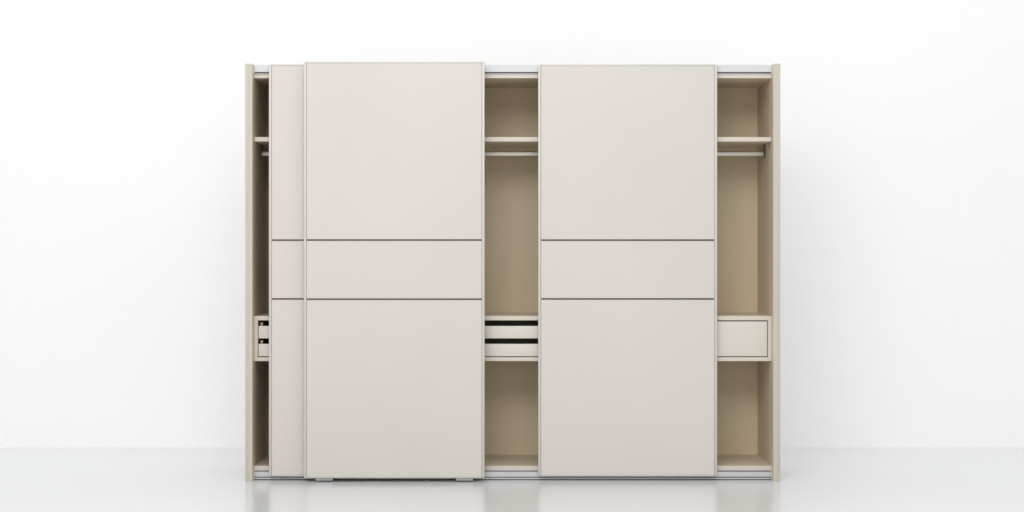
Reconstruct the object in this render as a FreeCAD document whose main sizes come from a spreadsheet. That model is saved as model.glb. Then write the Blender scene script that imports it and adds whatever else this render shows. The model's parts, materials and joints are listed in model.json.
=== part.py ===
"""Three-door sliding wardrobe: board carcass, hung doors, drawers and running gear.

The frame has +Z up, +X to the right seen from the front, and the doors face -Y. The origin is on the
floor under the middle of the whole object. All lengths are millimetres.
"""
import FreeCAD, Part
import math
import os
import sys
import Sketcher

DRIVING_SIZES = [
    ("overall_wide", 3000, "outside width over the side cladding"),
    ("carcass_high", 2340, "height of the side panels"),
    ("side_deep", 600, "depth of the side panels"),
    ("side_clad", 18, "outer cladding board on each side"),
    ("side_board", 22, "carcass side board"),
    ("partition_board", 22, "upright board between two compartments"),
    ("top_board", 22, "top panel board"),
    ("floor_board", 24, "bottom panel board"),
    ("floor_top", 78, "height of the bottom panel's upper face"),
    ("back_board", 8, "back panel board"),
    ("back_recess", 14, "back panel set in from the rear edge of the sides"),
    ("panel_inset", 60, "top and bottom panels and partitions, behind the side's front edge"),
    ("shelf_inset", 64, "shelves and drawer units, behind the side's front edge"),
    ("shelf_board", 25, "shelf board"),
    ("shelf_top", 1934, "height of the shelf's upper face"),
    ("shelf_play", 1, "gap at each end of a shelf"),
    ("pin_radius", 2.5, "shelf pin"),
    ("pin_long", 12, "shelf pin, standing out of the board"),
    ("pin_inset", 60, "shelf pins, from the shelf's front and back edges"),
    ("hanging_tall", 30, "clothes rail, oval height"),
    ("hanging_thick", 15, "clothes rail, oval width"),
    ("hanging_wall", 1.5, "clothes rail, tube wall"),
    ("hanging_middle", 1854, "clothes rail, height of its middle"),
    ("hanging_inset", 292, "clothes rail, behind the side's front edge"),
    ("bracket_thick", 11, "clothes rail bracket, standing out of the board"),
    ("bracket_wide", 28, "clothes rail bracket"),
    ("bracket_under", 6, "clothes rail bracket, below the rail"),
    ("socket_deep", 6, "clothes rail, held in its bracket"),
    ("unit_top", 924, "drawer unit, height of its upper face"),
    ("unit_top_board", 25, "drawer unit, upper board"),
    ("unit_base_board", 22, "drawer unit, lower board"),
    ("unit_side_board", 20, "drawer unit, side board"),
    ("unit_back_board", 10, "drawer unit, back board"),
    ("unit_opening", 208, "drawer unit, clear height"),
    ("front_recess", 2, "drawer front, behind the unit's front edge"),
    ("front_board", 18, "drawer front board"),
    ("front_high", 70, "drawer front of a two-drawer unit"),
    ("front_foot", 5, "gap under the lowest drawer front"),
    ("front_side", 4, "gap beside a drawer front"),
    ("finger_gap", 31, "open gap above a drawer front, to pull it by"),
    ("tall_front_high", 197, "drawer front of the one-drawer unit"),
    ("box_side", 12, "drawer box side"),
    ("box_side_high", 85, "drawer box side of a two-drawer unit"),
    ("tall_side_high", 170, "drawer box side of the one-drawer unit"),
    ("box_rise", 4, "drawer box, above the lower edge of its front"),
    ("box_gap", 13, "drawer box side to unit side, where the runner goes"),
    ("box_deep", 450, "drawer box"),
    ("box_base", 10, "drawer bottom board"),
    ("box_base_rise", 6, "drawer bottom, above the lower edge of the box sides"),
    ("rib_high", 18, "runner member rolled into the drawer side"),
    ("rib_deep", 10.5, "runner member, standing out of the drawer side"),
    ("rib_rise", 30, "runner member, above the lower edge of the box side"),
    ("runner_wall", 1.5, "fixed runner, sheet thickness"),
    ("runner_deep", 11, "fixed runner, standing out of the unit side"),
    ("runner_play", 0.5, "fixed runner, gap above and below the member in it"),
    ("runner_long", 440, "fixed runner"),
    ("door_deep", 34, "door thickness"),
    ("front_door_proud", 42, "face of the front door, ahead of the side's front edge"),
    ("rear_door_inset", 13, "face of the rear doors, behind the side's front edge"),
    ("rear_door_wide", 1004, "left and right doors"),
    ("rear_door_base", 27, "left and right doors, lower edge"),
    ("rear_door_top", 2338, "left and right doors, upper edge"),
    ("front_door_wide", 1008, "middle door"),
    ("front_door_base", 24, "middle door, lower edge"),
    ("front_door_top", 2346, "middle door, upper edge"),
    ("left_door_at", -1369, "left door's left edge at rest"),
    ("middle_door_at", -1166, "middle door's left edge at rest"),
    ("right_door_at", 143, "right door's left edge at rest"),
    ("nose_wide", 13, "door stile, face strip"),
    ("groove_wide", 3.5, "door stile, shadow groove beside the panel"),
    ("groove_deep", 5, "door stile, depth of the shadow groove"),
    ("lip_wide", 8, "door head and foot profile, face lip"),
    ("lip_thick", 2, "face lip of the head and foot profiles and crossbars"),
    ("web_thick", 4, "web between a face lip and the tube behind it"),
    ("frame_wide", 30, "tube at the back of the door frame"),
    ("frame_wall", 2, "wall of that tube"),
    ("panel_thick", 10, "door panel"),
    ("crossbar_face", 9, "crossbar, height of its face"),
    ("crossbar_flange", 3, "crossbar, thickness of its back flange"),
    ("upper_crossbar", 1351.5, "upper crossbar, height of its middle"),
    ("lower_crossbar", 1021.5, "lower crossbar, height of its middle"),
    ("rail_inset", 54, "running and guide rails, behind the side's front edge"),
    ("rail_wall", 3, "running rail wall"),
    ("wheel_gap", 2, "roller to the hanger plate beside it"),
    ("leg_thick", 3, "leg of the rear doors' guides"),
    ("foot_inset", 8, "guide foot, behind the front door's face"),
    ("rail_high", 52, "running rail"),
    ("fascia_high", 40, "front wall of the running rail"),
    ("near_channel", 38, "clear depth of the rear doors' channel"),
    ("far_channel", 49, "clear depth of the front door's channel"),
    ("near_lane", 20, "wheel lane, behind the front wall of the rear doors' channel"),
    ("far_lane", 29, "wheel lane, behind the front wall of the front door's channel"),
    ("bead_wide", 4, "track bead that the wheels ride on"),
    ("bead_high", 3, "track bead"),
    ("cap_wide", 4, "end cap of each rail"),
    ("wheel_radius", 15, "roller flange"),
    ("rolling_radius", 12.5, "roller, bottom of its groove"),
    ("wheel_wide", 12, "roller"),
    ("wheel_groove", 5, "roller groove"),
    ("wheel_play", 0.3, "roller to bead"),
    ("axle_radius", 3, "roller axle"),
    ("axle_play", 0.05, "roller bore to axle, on the radius"),
    ("plate_thick", 4, "steel plate of the hangers and guides"),
    ("hanger_wide", 60, "hanger bracket"),
    ("hanger_inset", 90, "hanger's middle, from the door's edge"),
    ("hanger_drop", 8, "hanger plate, past the axle"),
    ("rear_arm_rise", 3, "rear doors' hanger arm, above the running rail's floor"),
    ("front_arm_below", 1, "front door's hanger arm, below the door's upper edge"),
    ("guide_rail_base", 5, "guide rail, above the floor"),
    ("guide_rail_deep", 35, "guide rail"),
    ("guide_rail_wall", 3, "guide rail, front wall"),
    ("guide_channel", 25, "guide rail, depth of its channels with the front wall"),
    ("guide_slot", 6, "height of the slots in the guide rail's face"),
    ("lower_slot", 12, "lower slot's lower edge"),
    ("upper_slot", 46, "upper slot's lower edge"),
    ("guide_hollow", 18, "height of the channels behind the slots"),
    ("slider_play", 1, "guide slider to its channel"),
    ("slider_high", 15, "guide slider, with its plate"),
    ("guide_wide", 60, "rear doors' guide bracket"),
    ("foot_wide", 95, "front door's guide foot"),
    ("foot_high", 16, "front door's guide foot"),
    ("foot_deep", 22, "front door's guide foot"),
    ("tongue_wide", 40, "front door's guide tongue"),
    ("guide_inset", 112, "guide's middle, from the door's edge"),
    ("plinth_board", 22, "plinth boards under the bottom panels"),
    ("plinth_back_inset", 18, "rear plinth board, in front of the back panel's rear face"),
    ("leveller_disc", 25, "levelling foot, radius of its base"),
    ("leveller_disc_high", 8, "levelling foot, base"),
    ("leveller_stud", 6, "levelling foot, radius of its screw"),
    ("leveller_socket", 18, "levelling foot, radius of its socket"),
    ("leveller_socket_high", 14, "levelling foot, socket"),
    ("leveller_inset", 80, "levelling feet, from the boards beside them"),
]


SAME_LENGTH = 1e-9
FULL_TURN = 360


class Size:
    """A length: its value now, and the formula on the sheet's cells that gives it."""

    def __init__(self, value, formula):
        self.value = value
        self.formula = formula

    def __add__(self, other):
        other = as_size(other)
        return Size(self.value + other.value, f"({self.formula} + {other.formula})")

    def __sub__(self, other):
        other = as_size(other)
        return Size(self.value - other.value, f"({self.formula} - {other.formula})")

    def __mul__(self, factor):
        return Size(self.value * factor, f"({self.formula} * {factor})")

    def __truediv__(self, divisor):
        return Size(self.value / divisor, f"({self.formula} / {divisor})")

    def __neg__(self):
        return Size(-self.value, f"(-1 * {self.formula})")


def as_size(number):
    """A plain number as a Size, and a Size as it is."""
    return number if isinstance(number, Size) else Size(number, f"({number})")


class Cells:
    """The sheet's cells by alias, each one a Size."""


def fill_sheet(document):
    """Write the driving sizes into the spreadsheet and give them back by name."""
    sheet = document.addObject("Spreadsheet::Sheet", "Sizes")
    cells = Cells()
    for row, (alias, number, remark) in enumerate(DRIVING_SIZES, start=1):
        sheet.set(f"A{row}", remark)
        sheet.set(f"B{row}", str(number))
        sheet.setAlias(f"B{row}", alias)
        setattr(cells, alias, Size(number, f"Sizes.{alias}"))
    document.recompute()
    return cells


doc = FreeCAD.newDocument("sliding_door_wardrobe")
cell = fill_sheet(doc)
subparts = []


# ---- Ways of making a piece -----------------------------------------------------------------------

def bind(piece, prop, size):
    """Tie one property of a piece to its formula."""
    piece.setExpression(prop, as_size(size).formula)


def put_at(piece, corner):
    """Tie a piece's place to the formulas of its x, y and z."""
    for axis, size in zip("xyz", corner):
        bind(piece, f"Placement.Base.{axis}", size)


def board(name, corner, extent):
    """A plain board from its low corner and its size along x, y and z."""
    piece = doc.addObject("Part::Box", name)
    for prop, size in zip(("Length", "Width", "Height"), extent):
        bind(piece, prop, size)
    put_at(piece, corner)
    return piece


def rod(name, start, radius, length, turn_axis, turn_degrees):
    """A round rod that starts at a point; it stands along z until it is turned."""
    piece = doc.addObject("Part::Cylinder", name)
    bind(piece, "Radius", radius)
    bind(piece, "Height", length)
    piece.Placement.Rotation = FreeCAD.Rotation(FreeCAD.Vector(*turn_axis), turn_degrees)
    put_at(piece, start)
    return piece


def origin_plane(body, role):
    """One of a body's own three origin planes."""
    return next(plane for plane in body.Origin.OriginFeatures if plane.Role == role)


def new_sketch(body, role, offset=None):
    """An empty sketch on an origin plane of its body, moved along the plane's normal by offset."""
    sketch = body.newObject("Sketcher::SketchObject", f"{body.Name}_outline")
    sketch.AttachmentSupport = [(origin_plane(body, role), "")]
    sketch.MapMode = "FlatFace"
    if offset is not None:
        bind(sketch, "AttachmentOffset.Base.z", offset)
    return sketch


def hold_corner(sketch, edge, kind, axis_edge, size):
    """Hold the start of an edge at a distance from the sketch's origin, or on the axis itself."""
    if size.value == 0:
        sketch.addConstraint(Sketcher.Constraint("PointOnObject", edge, 1, axis_edge))
        return
    index = sketch.addConstraint(Sketcher.Constraint(kind, -1, 1, edge, 1, size.value))
    bind(sketch, f"Constraints[{index}]", size)


def draw_outline(sketch, corners):
    """A closed outline of level and upright edges, each corner held by its formulas.

    The corners go round in order, and the first edge is level.
    """
    corners = [(as_size(across), as_size(up)) for across, up in corners]
    for i, (start, end) in enumerate(zip(corners, corners[1:] + corners[:1])):
        along = 1 if i % 2 == 0 else 0
        if abs(start[along].value - end[along].value) > SAME_LENGTH:
            raise ValueError(f"{sketch.Name}: edge {i} of the outline is out of turn")
    points = [FreeCAD.Vector(across.value, up.value, 0) for across, up in corners]
    first = sketch.GeometryCount
    count = len(points)
    for i in range(count):
        sketch.addGeometry(Part.LineSegment(points[i], points[(i + 1) % count]))
    for i in range(count):
        edge = first + i
        following = first + (i + 1) % count
        sketch.addConstraint(Sketcher.Constraint("Coincident", edge, 2, following, 1))
        if i % 2 == 0:
            sketch.addConstraint(Sketcher.Constraint("Horizontal", edge))
            hold_corner(sketch, edge, "DistanceY", -1, corners[i][1])
        else:
            sketch.addConstraint(Sketcher.Constraint("Vertical", edge))
            hold_corner(sketch, edge, "DistanceX", -2, corners[i][0])


def draw_oval(sketch, tall, thick):
    """An upright slot outline, round at both ends, about the sketch's origin."""
    radius = thick / 2
    reach = tall / 2 - radius
    upper = FreeCAD.Vector(0, reach.value, 0)
    lower = FreeCAD.Vector(0, -reach.value, 0)
    side = FreeCAD.Vector(radius.value, 0, 0)
    across = FreeCAD.Vector(0, 0, 1)
    half_turn = math.pi
    top = sketch.addGeometry(Part.ArcOfCircle(Part.Circle(upper, across, radius.value), 0, half_turn))
    left = sketch.addGeometry(Part.LineSegment(upper - side, lower - side))
    base = sketch.addGeometry(
        Part.ArcOfCircle(Part.Circle(lower, across, radius.value), half_turn, 2 * half_turn))
    right = sketch.addGeometry(Part.LineSegment(lower + side, upper + side))
    for one, following in ((top, left), (left, base), (base, right), (right, top)):
        sketch.addConstraint(Sketcher.Constraint("Tangent", one, 2, following, 1))
    sketch.addConstraint(Sketcher.Constraint("PointOnObject", top, 3, -2))
    sketch.addConstraint(Sketcher.Constraint("Symmetric", top, 3, base, 3, -1, 1))
    held = sketch.addConstraint(Sketcher.Constraint("DistanceY", -1, 1, top, 3, reach.value))
    bind(sketch, f"Constraints[{held}]", reach)
    held = sketch.addConstraint(Sketcher.Constraint("Radius", top, radius.value))
    bind(sketch, f"Constraints[{held}]", radius)


def pad(body, sketch, length, backwards=False):
    """Extrude a sketch along its plane's normal."""
    feature = body.newObject("PartDesign::Pad", f"{body.Name}_length")
    feature.Profile = sketch
    feature.Reversed = backwards
    bind(feature, "Length", length)
    sketch.Visibility = False
    return feature


def profile_along_x(name, outlines, length, start):
    """An extruded profile along x, whose outlines are drawn in y and z."""
    body = doc.addObject("PartDesign::Body", name)
    sketch = new_sketch(body, "YZ_Plane")
    for corners in outlines:
        draw_outline(sketch, corners)
    pad(body, sketch, length)
    put_at(body, start)
    return body


def profile_along_y(name, outline, length, start):
    """An extruded profile along y, whose outline is drawn in x and z."""
    body = doc.addObject("PartDesign::Body", name)
    sketch = new_sketch(body, "XZ_Plane")
    draw_outline(sketch, outline)
    pad(body, sketch, length, backwards=True)
    put_at(body, start)
    return body


def turned(name, role, outline, axis, start):
    """A turned piece: an outline in one origin plane, revolved about an axis of its sketch."""
    body = doc.addObject("PartDesign::Body", name)
    sketch = new_sketch(body, role)
    draw_outline(sketch, outline)
    feature = body.newObject("PartDesign::Revolution", f"{name}_turning")
    feature.Profile = sketch
    feature.ReferenceAxis = (sketch, [axis])
    feature.Angle = FULL_TURN
    sketch.Visibility = False
    put_at(body, start)
    return body


def rectangle(left, base, right, top):
    """The corners of an upright rectangle."""
    return [(left, base), (right, base), (right, top), (left, top)]


def keep(name, pieces):
    """Make one sub-part of its solids, under the name of its file."""
    if len(pieces) == 1:
        subpart = pieces[0]
    else:
        subpart = doc.addObject("Part::Compound", name)
        subpart.Links = pieces
    subpart.Label = name
    subparts.append(subpart)
    return subpart


# ---- Planes and heights that many pieces share -----------------------------------------------------

nothing = as_size(0)
half_wide = cell.overall_wide / 2
front_face = -(cell.side_deep + cell.front_door_proud) / 2
side_front = front_face + cell.front_door_proud
side_rear = side_front + cell.side_deep
back_front = side_rear - cell.back_recess - cell.back_board
panel_front = side_front + cell.panel_inset
shelf_front = side_front + cell.shelf_inset
rail_front = side_front + cell.rail_inset
inner_half = half_wide - cell.side_clad - cell.side_board
bay_wide = (inner_half * 2 - cell.partition_board * 2) / 3
floor_base = cell.floor_top - cell.floor_board
rail_base = cell.carcass_high - cell.rail_high
shelf_base = cell.shelf_top - cell.shelf_board
left_bay = -inner_half
middle_bay = left_bay + bay_wide + cell.partition_board
right_bay = middle_bay + bay_wide + cell.partition_board
bays = {"left": left_bay, "middle": middle_bay, "right": right_bay}


# ---- Carcass ---------------------------------------------------------------------------------------

def make_sides():
    """Each side is a carcass board with a cladding board fixed flat against it."""
    clad = (cell.side_clad, cell.side_deep, cell.carcass_high)
    inner = (cell.side_board, cell.side_deep, cell.carcass_high)
    keep("side_cladding_left", [board("clad_left", (-half_wide, side_front, nothing), clad)])
    left = board("side_left", (-inner_half - cell.side_board, side_front, nothing), inner)
    keep("side_panel_left", [left])
    keep("side_panel_right", [board("side_right", (inner_half, side_front, nothing), inner)])
    right_clad_at = (inner_half + cell.side_board, side_front, nothing)
    keep("side_cladding_right", [board("clad_right", right_clad_at, clad)])


def make_partitions():
    """Two upright boards from the plinth to the underside of the running rail."""
    extent = (cell.partition_board, back_front - panel_front, rail_base - floor_base)
    for name, bay in (("left", left_bay), ("right", middle_bay)):
        start = (bay + bay_wide, panel_front, floor_base)
        keep(f"partition_{name}", [board(f"upright_{name}", start, extent)])


def make_level_boards():
    """Top panel, bottom panel and shelf of each compartment."""
    deep = back_front - panel_front
    tops = []
    floors = []
    shelves = []
    for name, bay in bays.items():
        top_at = (bay, panel_front, rail_base - cell.top_board)
        tops.append(board(f"top_{name}", top_at, (bay_wide, deep, cell.top_board)))
        floor_at = (bay, panel_front, floor_base)
        floors.append(board(f"floor_{name}", floor_at, (bay_wide, deep, cell.floor_board)))
        shelf_at = (bay + cell.shelf_play, shelf_front, shelf_base)
        shelf_size = (bay_wide - cell.shelf_play * 2, back_front - shelf_front, cell.shelf_board)
        shelves.append(board(f"shelf_{name}", shelf_at, shelf_size))
    keep("top_panels", tops)
    keep("bottom_panels", floors)
    keep("shelves", shelves)


def make_back_panels():
    """Three thin boards on the rear edges, which meet on the partitions."""
    seam = bay_wide / 2 + cell.partition_board / 2
    edges = [-inner_half, -seam, seam, inner_half]
    panels = []
    for i in range(3):
        start = (edges[i], back_front, floor_base)
        extent = (edges[i + 1] - edges[i], cell.back_board, rail_base - floor_base)
        panels.append(board(f"back_{i + 1}", start, extent))
    keep("back_panels", panels)


def make_shelf_pins():
    """Four pins under each shelf."""
    near = shelf_front + cell.pin_inset
    far = back_front - cell.pin_inset
    pins = []
    for name, bay in bays.items():
        for side, across in (("l", bay), ("r", bay + bay_wide - cell.pin_long)):
            for end, along in (("near", near), ("far", far)):
                start = (across, along, shelf_base - cell.pin_radius)
                pin = f"pin_{name}_{side}_{end}"
                pins.append(rod(pin, start, cell.pin_radius, cell.pin_long, (0, 1, 0), 90))
    keep("shelf_pins", pins)


def make_clothes_rails():
    """An oval tube in each compartment, with its ends in sockets cut in two hanging brackets."""
    middle = side_front + cell.hanging_inset
    into_board = cell.bracket_thick - cell.socket_deep
    rail_long = bay_wide - into_board * 2
    bracket_base = cell.hanging_middle - cell.hanging_tall / 2 - cell.bracket_under
    extent = (cell.bracket_thick, cell.bracket_wide, shelf_base - bracket_base)
    rails = []
    brackets = []
    for name, bay in bays.items():
        rail = doc.addObject("PartDesign::Body", f"clothes_rail_{name}")
        sketch = new_sketch(rail, "YZ_Plane")
        draw_oval(sketch, cell.hanging_tall, cell.hanging_thick)
        bore_tall = cell.hanging_tall - cell.hanging_wall * 2
        draw_oval(sketch, bore_tall, cell.hanging_thick - cell.hanging_wall * 2)
        pad(rail, sketch, rail_long)
        put_at(rail, (bay + into_board, middle, cell.hanging_middle))
        rails.append(rail)
        for side, across in (("l", bay), ("r", bay + bay_wide - cell.bracket_thick)):
            low = (across, middle - cell.bracket_wide / 2, bracket_base)
            blank = board(f"bracket_{name}_{side}", low, extent)
            socket = doc.addObject("Part::Cut", f"bracket_socket_{name}_{side}")
            socket.Base = blank
            socket.Tool = rail
            brackets.append(socket)
    keep("clothes_rails", rails)
    keep("clothes_rail_brackets", brackets)


def make_plinth():
    """Front and rear plinth boards, and one under each partition."""
    front_at = rail_front + cell.guide_rail_deep
    rear_at = side_rear - cell.plinth_back_inset - cell.plinth_board
    long_board = (inner_half * 2, cell.plinth_board, floor_base)
    pieces = [board("plinth_front", (-inner_half, front_at, nothing), long_board),
              board("plinth_rear", (-inner_half, rear_at, nothing), long_board)]
    gap = rear_at - front_at - cell.plinth_board
    for name, bay in (("left", left_bay), ("right", middle_bay)):
        start = (bay + bay_wide, front_at + cell.plinth_board, nothing)
        pieces.append(board(f"plinth_cross_{name}", start, (cell.partition_board, gap, floor_base)))
    keep("plinth_boards", pieces)


def make_levelling_feet():
    """Screw feet under the four corners of each bottom panel, inside the plinth."""
    socket_base = floor_base - cell.leveller_socket_high
    outline = [(nothing, nothing), (cell.leveller_disc, nothing),
               (cell.leveller_disc, cell.leveller_disc_high), (cell.leveller_stud, cell.leveller_disc_high),
               (cell.leveller_stud, socket_base), (cell.leveller_socket, socket_base),
               (cell.leveller_socket, floor_base), (nothing, floor_base)]
    near = rail_front + cell.guide_rail_deep + cell.plinth_board + cell.leveller_inset
    far = side_rear - cell.plinth_back_inset - cell.plinth_board - cell.leveller_inset
    feet = []
    for name, bay in bays.items():
        for side, across in (("l", bay + cell.leveller_inset), ("r", bay + bay_wide - cell.leveller_inset)):
            for end, along in (("near", near), ("far", far)):
                start = (across, along, nothing)
                feet.append(turned(f"foot_{name}_{side}_{end}", "XZ_Plane", outline, "V_Axis", start))
    keep("levelling_feet", feet)


# ---- Rails -----------------------------------------------------------------------------------------

channel_front = rail_front + cell.rail_wall
middle_web = channel_front + cell.near_channel
far_front = middle_web + cell.rail_wall
rear_web = far_front + cell.far_channel
rail_rear = rear_web + cell.rail_wall
rail_floor = rail_base + cell.rail_wall
near_wheel = channel_front + cell.near_lane
far_wheel = far_front + cell.far_lane
bead_top = rail_floor + cell.bead_high
axle_height = bead_top + cell.wheel_play + cell.rolling_radius
rail_long = inner_half * 2 - cell.cap_wide * 2
guide_front = rail_front + cell.guide_rail_wall
guide_rear = rail_front + cell.guide_channel
lower_hollow_top = cell.lower_slot + cell.guide_hollow
upper_slot_top = cell.upper_slot + cell.guide_slot
lower_slot_top = cell.lower_slot + cell.guide_slot
upper_hollow_base = upper_slot_top - cell.guide_hollow


def make_running_rail():
    """One extrusion: a slotted front channel for the rear doors, an open one for the front door."""
    half_bead = cell.bead_wide / 2
    roof = cell.carcass_high - cell.rail_wall
    fascia_base = cell.carcass_high - cell.fascia_high
    outline = [(rail_front, rail_base), (rail_rear, rail_base),
               (rail_rear, cell.carcass_high), (rear_web, cell.carcass_high),
               (rear_web, rail_floor), (far_wheel + half_bead, rail_floor),
               (far_wheel + half_bead, bead_top), (far_wheel - half_bead, bead_top),
               (far_wheel - half_bead, rail_floor), (far_front, rail_floor),
               (far_front, cell.carcass_high), (rail_front, cell.carcass_high),
               (rail_front, fascia_base), (channel_front, fascia_base),
               (channel_front, roof), (middle_web, roof),
               (middle_web, rail_floor), (near_wheel + half_bead, rail_floor),
               (near_wheel + half_bead, bead_top), (near_wheel - half_bead, bead_top),
               (near_wheel - half_bead, rail_floor), (rail_front, rail_floor)]
    rail = profile_along_x("running_rail", [outline], rail_long, (-rail_long / 2, nothing, nothing))
    keep("top_running_rail", [rail])


def make_guide_rail():
    """One extrusion with two slotted channels in its face, the upper one for the rear doors."""
    rear = rail_front + cell.guide_rail_deep
    outline = [(rail_front, cell.guide_rail_base), (rear, cell.guide_rail_base),
               (rear, floor_base), (rail_front, floor_base),
               (rail_front, upper_slot_top), (guide_rear, upper_slot_top),
               (guide_rear, upper_hollow_base), (guide_front, upper_hollow_base),
               (guide_front, cell.upper_slot), (rail_front, cell.upper_slot),
               (rail_front, lower_slot_top), (guide_front, lower_slot_top),
               (guide_front, lower_hollow_top), (guide_rear, lower_hollow_top),
               (guide_rear, cell.lower_slot), (rail_front, cell.lower_slot)]
    rail = profile_along_x("guide_rail", [outline], rail_long,
                           (-rail_long / 2, nothing, nothing))
    keep("bottom_guide_rail", [rail])


def make_rail_caps():
    """A thin moulded plate closes each end of both rails."""
    caps = []
    for side, across in (("left", -inner_half), ("right", inner_half - cell.cap_wide)):
        upper = (cell.cap_wide, rail_rear - rail_front, cell.rail_high)
        caps.append(board(f"upper_cap_{side}", (across, rail_front, rail_base), upper))
        lower = (cell.cap_wide, cell.guide_rail_deep, floor_base - cell.guide_rail_base)
        caps.append(board(f"lower_cap_{side}", (across, rail_front, cell.guide_rail_base), lower))
    keep("rail_end_caps", caps)


# ---- Drawer units ----------------------------------------------------------------------------------

unit_base = cell.unit_top - cell.unit_top_board - cell.unit_opening - cell.unit_base_board
opening_base = unit_base + cell.unit_base_board
drawer_front = shelf_front + cell.front_recess
box_front = drawer_front + cell.front_board


def make_unit(name, bay):
    """A fixed open-fronted box of five boards between two uprights."""
    unit_rear = back_front - cell.unit_back_board
    deep = unit_rear - shelf_front
    inside_right = bay + bay_wide - cell.unit_side_board
    side = (cell.unit_side_board, deep, cell.unit_opening)
    back = (bay_wide, cell.unit_back_board, cell.unit_top - unit_base)
    pieces = [
        board(f"unit_{name}_base", (bay, shelf_front, unit_base), (bay_wide, deep, cell.unit_base_board)),
        board(f"unit_{name}_top", (bay, shelf_front, cell.unit_top - cell.unit_top_board),
              (bay_wide, deep, cell.unit_top_board)),
        board(f"unit_{name}_side_l", (bay, shelf_front, opening_base), side),
        board(f"unit_{name}_side_r", (inside_right, shelf_front, opening_base), side),
        board(f"unit_{name}_back", (bay, unit_rear, unit_base), back)]
    keep(f"drawer_unit_{name}", pieces)


def make_drawer(name, bay, front_base, front_high, side_high):
    """A drawer: its lacquered front, and a box of steel sides with a rolled runner member."""
    wide = bay_wide - cell.unit_side_board * 2
    left = bay + cell.unit_side_board
    front_at = (left + cell.front_side, drawer_front, front_base)
    front_size = (wide - cell.front_side * 2, cell.front_board, front_high)
    keep(f"{name}_drawer_front", [board(f"{name}_front_board", front_at, front_size)])
    box_base = front_base + cell.box_rise
    box_left = left + cell.box_gap
    box_wide = wide - cell.box_gap * 2
    rib_top = cell.rib_rise + cell.rib_high
    pieces = []
    for side, across, way in (("l", box_left, 1), ("r", box_left + box_wide, -1)):
        inside = cell.box_side * way
        out = cell.rib_deep * -way
        outline = [(nothing, nothing), (inside, nothing), (inside, side_high), (nothing, side_high),
                   (nothing, rib_top), (out, rib_top), (out, cell.rib_rise), (nothing, cell.rib_rise)]
        start = (across, box_front, box_base)
        pieces.append(profile_along_y(f"{name}_side_{side}", outline, cell.box_deep, start))
    inner_wide = box_wide - cell.box_side * 2
    inner_left = box_left + cell.box_side
    base_at = (inner_left, box_front, box_base + cell.box_base_rise)
    base_size = (inner_wide, cell.box_deep, cell.box_base)
    pieces.append(board(f"{name}_base", base_at, base_size))
    above_base = cell.box_base_rise + cell.box_base
    back_at = (inner_left, box_front + cell.box_deep - cell.box_side, box_base + above_base)
    pieces.append(board(f"{name}_back", back_at, (inner_wide, cell.box_side, side_high - above_base)))
    keep(f"{name}_drawer_box", pieces)
    return make_runners(name, left, wide, box_base)


def make_runners(name, left, wide, box_base):
    """The two fixed steel channels of one drawer, open towards the drawer."""
    wall = cell.runner_wall
    base = box_base + cell.rib_rise - cell.runner_play - wall
    high = cell.rib_high + cell.runner_play * 2 + wall * 2
    channels = []
    for side, across, way in (("l", left, 1), ("r", left + wide, -1)):
        deep = cell.runner_deep * way
        web = wall * way
        outline = [(nothing, nothing), (deep, nothing), (deep, wall), (web, wall),
                   (web, high - wall), (deep, high - wall), (deep, high), (nothing, high)]
        channels.append(profile_along_y(f"{name}_runner_{side}", outline,
                                        cell.runner_long, (across, box_front, base)))
    return channels


def make_drawers():
    """Two low drawers in the left and middle units, one tall drawer in the right unit."""
    lower = opening_base + cell.front_foot
    upper = lower + cell.front_high + cell.finger_gap
    runners = []
    for name, bay in bays.items():
        make_unit(name, bay)
    for name in ("left", "middle"):
        bay = bays[name]
        runners += make_drawer(f"{name}_upper", bay, upper, cell.front_high, cell.box_side_high)
        runners += make_drawer(f"{name}_lower", bay, lower, cell.front_high, cell.box_side_high)
    runners += make_drawer("right_tall", right_bay, lower, cell.tall_front_high, cell.tall_side_high)
    keep("drawer_runners", runners)


# ---- Doors -----------------------------------------------------------------------------------------

panel_edge = cell.nose_wide + cell.groove_wide
tube_front = cell.lip_thick + cell.panel_thick


class Door:
    """One door: its name, left edge, face plane and outside size."""

    def __init__(self, name, left, face, wide, base, top):
        self.name = name
        self.left = left
        self.face = face
        self.wide = wide
        self.base = base
        self.top = top
        self.rear = face + cell.door_deep


def make_stile(door, side, way):
    """An upright profile: a face strip, a shadow groove, and a tube behind the panel."""
    tube = cell.frame_wide * way
    wall = cell.frame_wall
    outline = [(nothing, nothing), (cell.nose_wide * way, nothing),
               (cell.nose_wide * way, cell.groove_deep), (panel_edge * way, cell.groove_deep),
               (panel_edge * way, tube_front), (tube, tube_front),
               (tube, cell.door_deep), (nothing, cell.door_deep)]
    hollow = rectangle(wall * way, tube_front + wall, tube - wall * way, cell.door_deep - wall)
    body = doc.addObject("PartDesign::Body", f"{door.name}_stile_{side}")
    sketch = new_sketch(body, "XY_Plane")
    draw_outline(sketch, outline)
    draw_outline(sketch, hollow)
    pad(body, sketch, door.top - door.base)
    put_at(body, (door.left if way > 0 else door.left + door.wide, door.face, door.base))
    return body


def make_cross_profile(name, door, height, face_part, back_parts):
    """A level profile: its face part runs to the shadow grooves, its back part to the stile tubes."""
    body = doc.addObject("PartDesign::Body", name)
    face_sketch = new_sketch(body, "YZ_Plane")
    draw_outline(face_sketch, face_part)
    pad(body, face_sketch, door.wide - panel_edge * 2)
    back_sketch = new_sketch(body, "YZ_Plane", offset=cell.frame_wide - panel_edge)
    for corners in back_parts:
        draw_outline(back_sketch, corners)
    pad(body, back_sketch, door.wide - cell.frame_wide * 2)
    put_at(body, (door.left + panel_edge, door.face, height))
    return body


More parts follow.
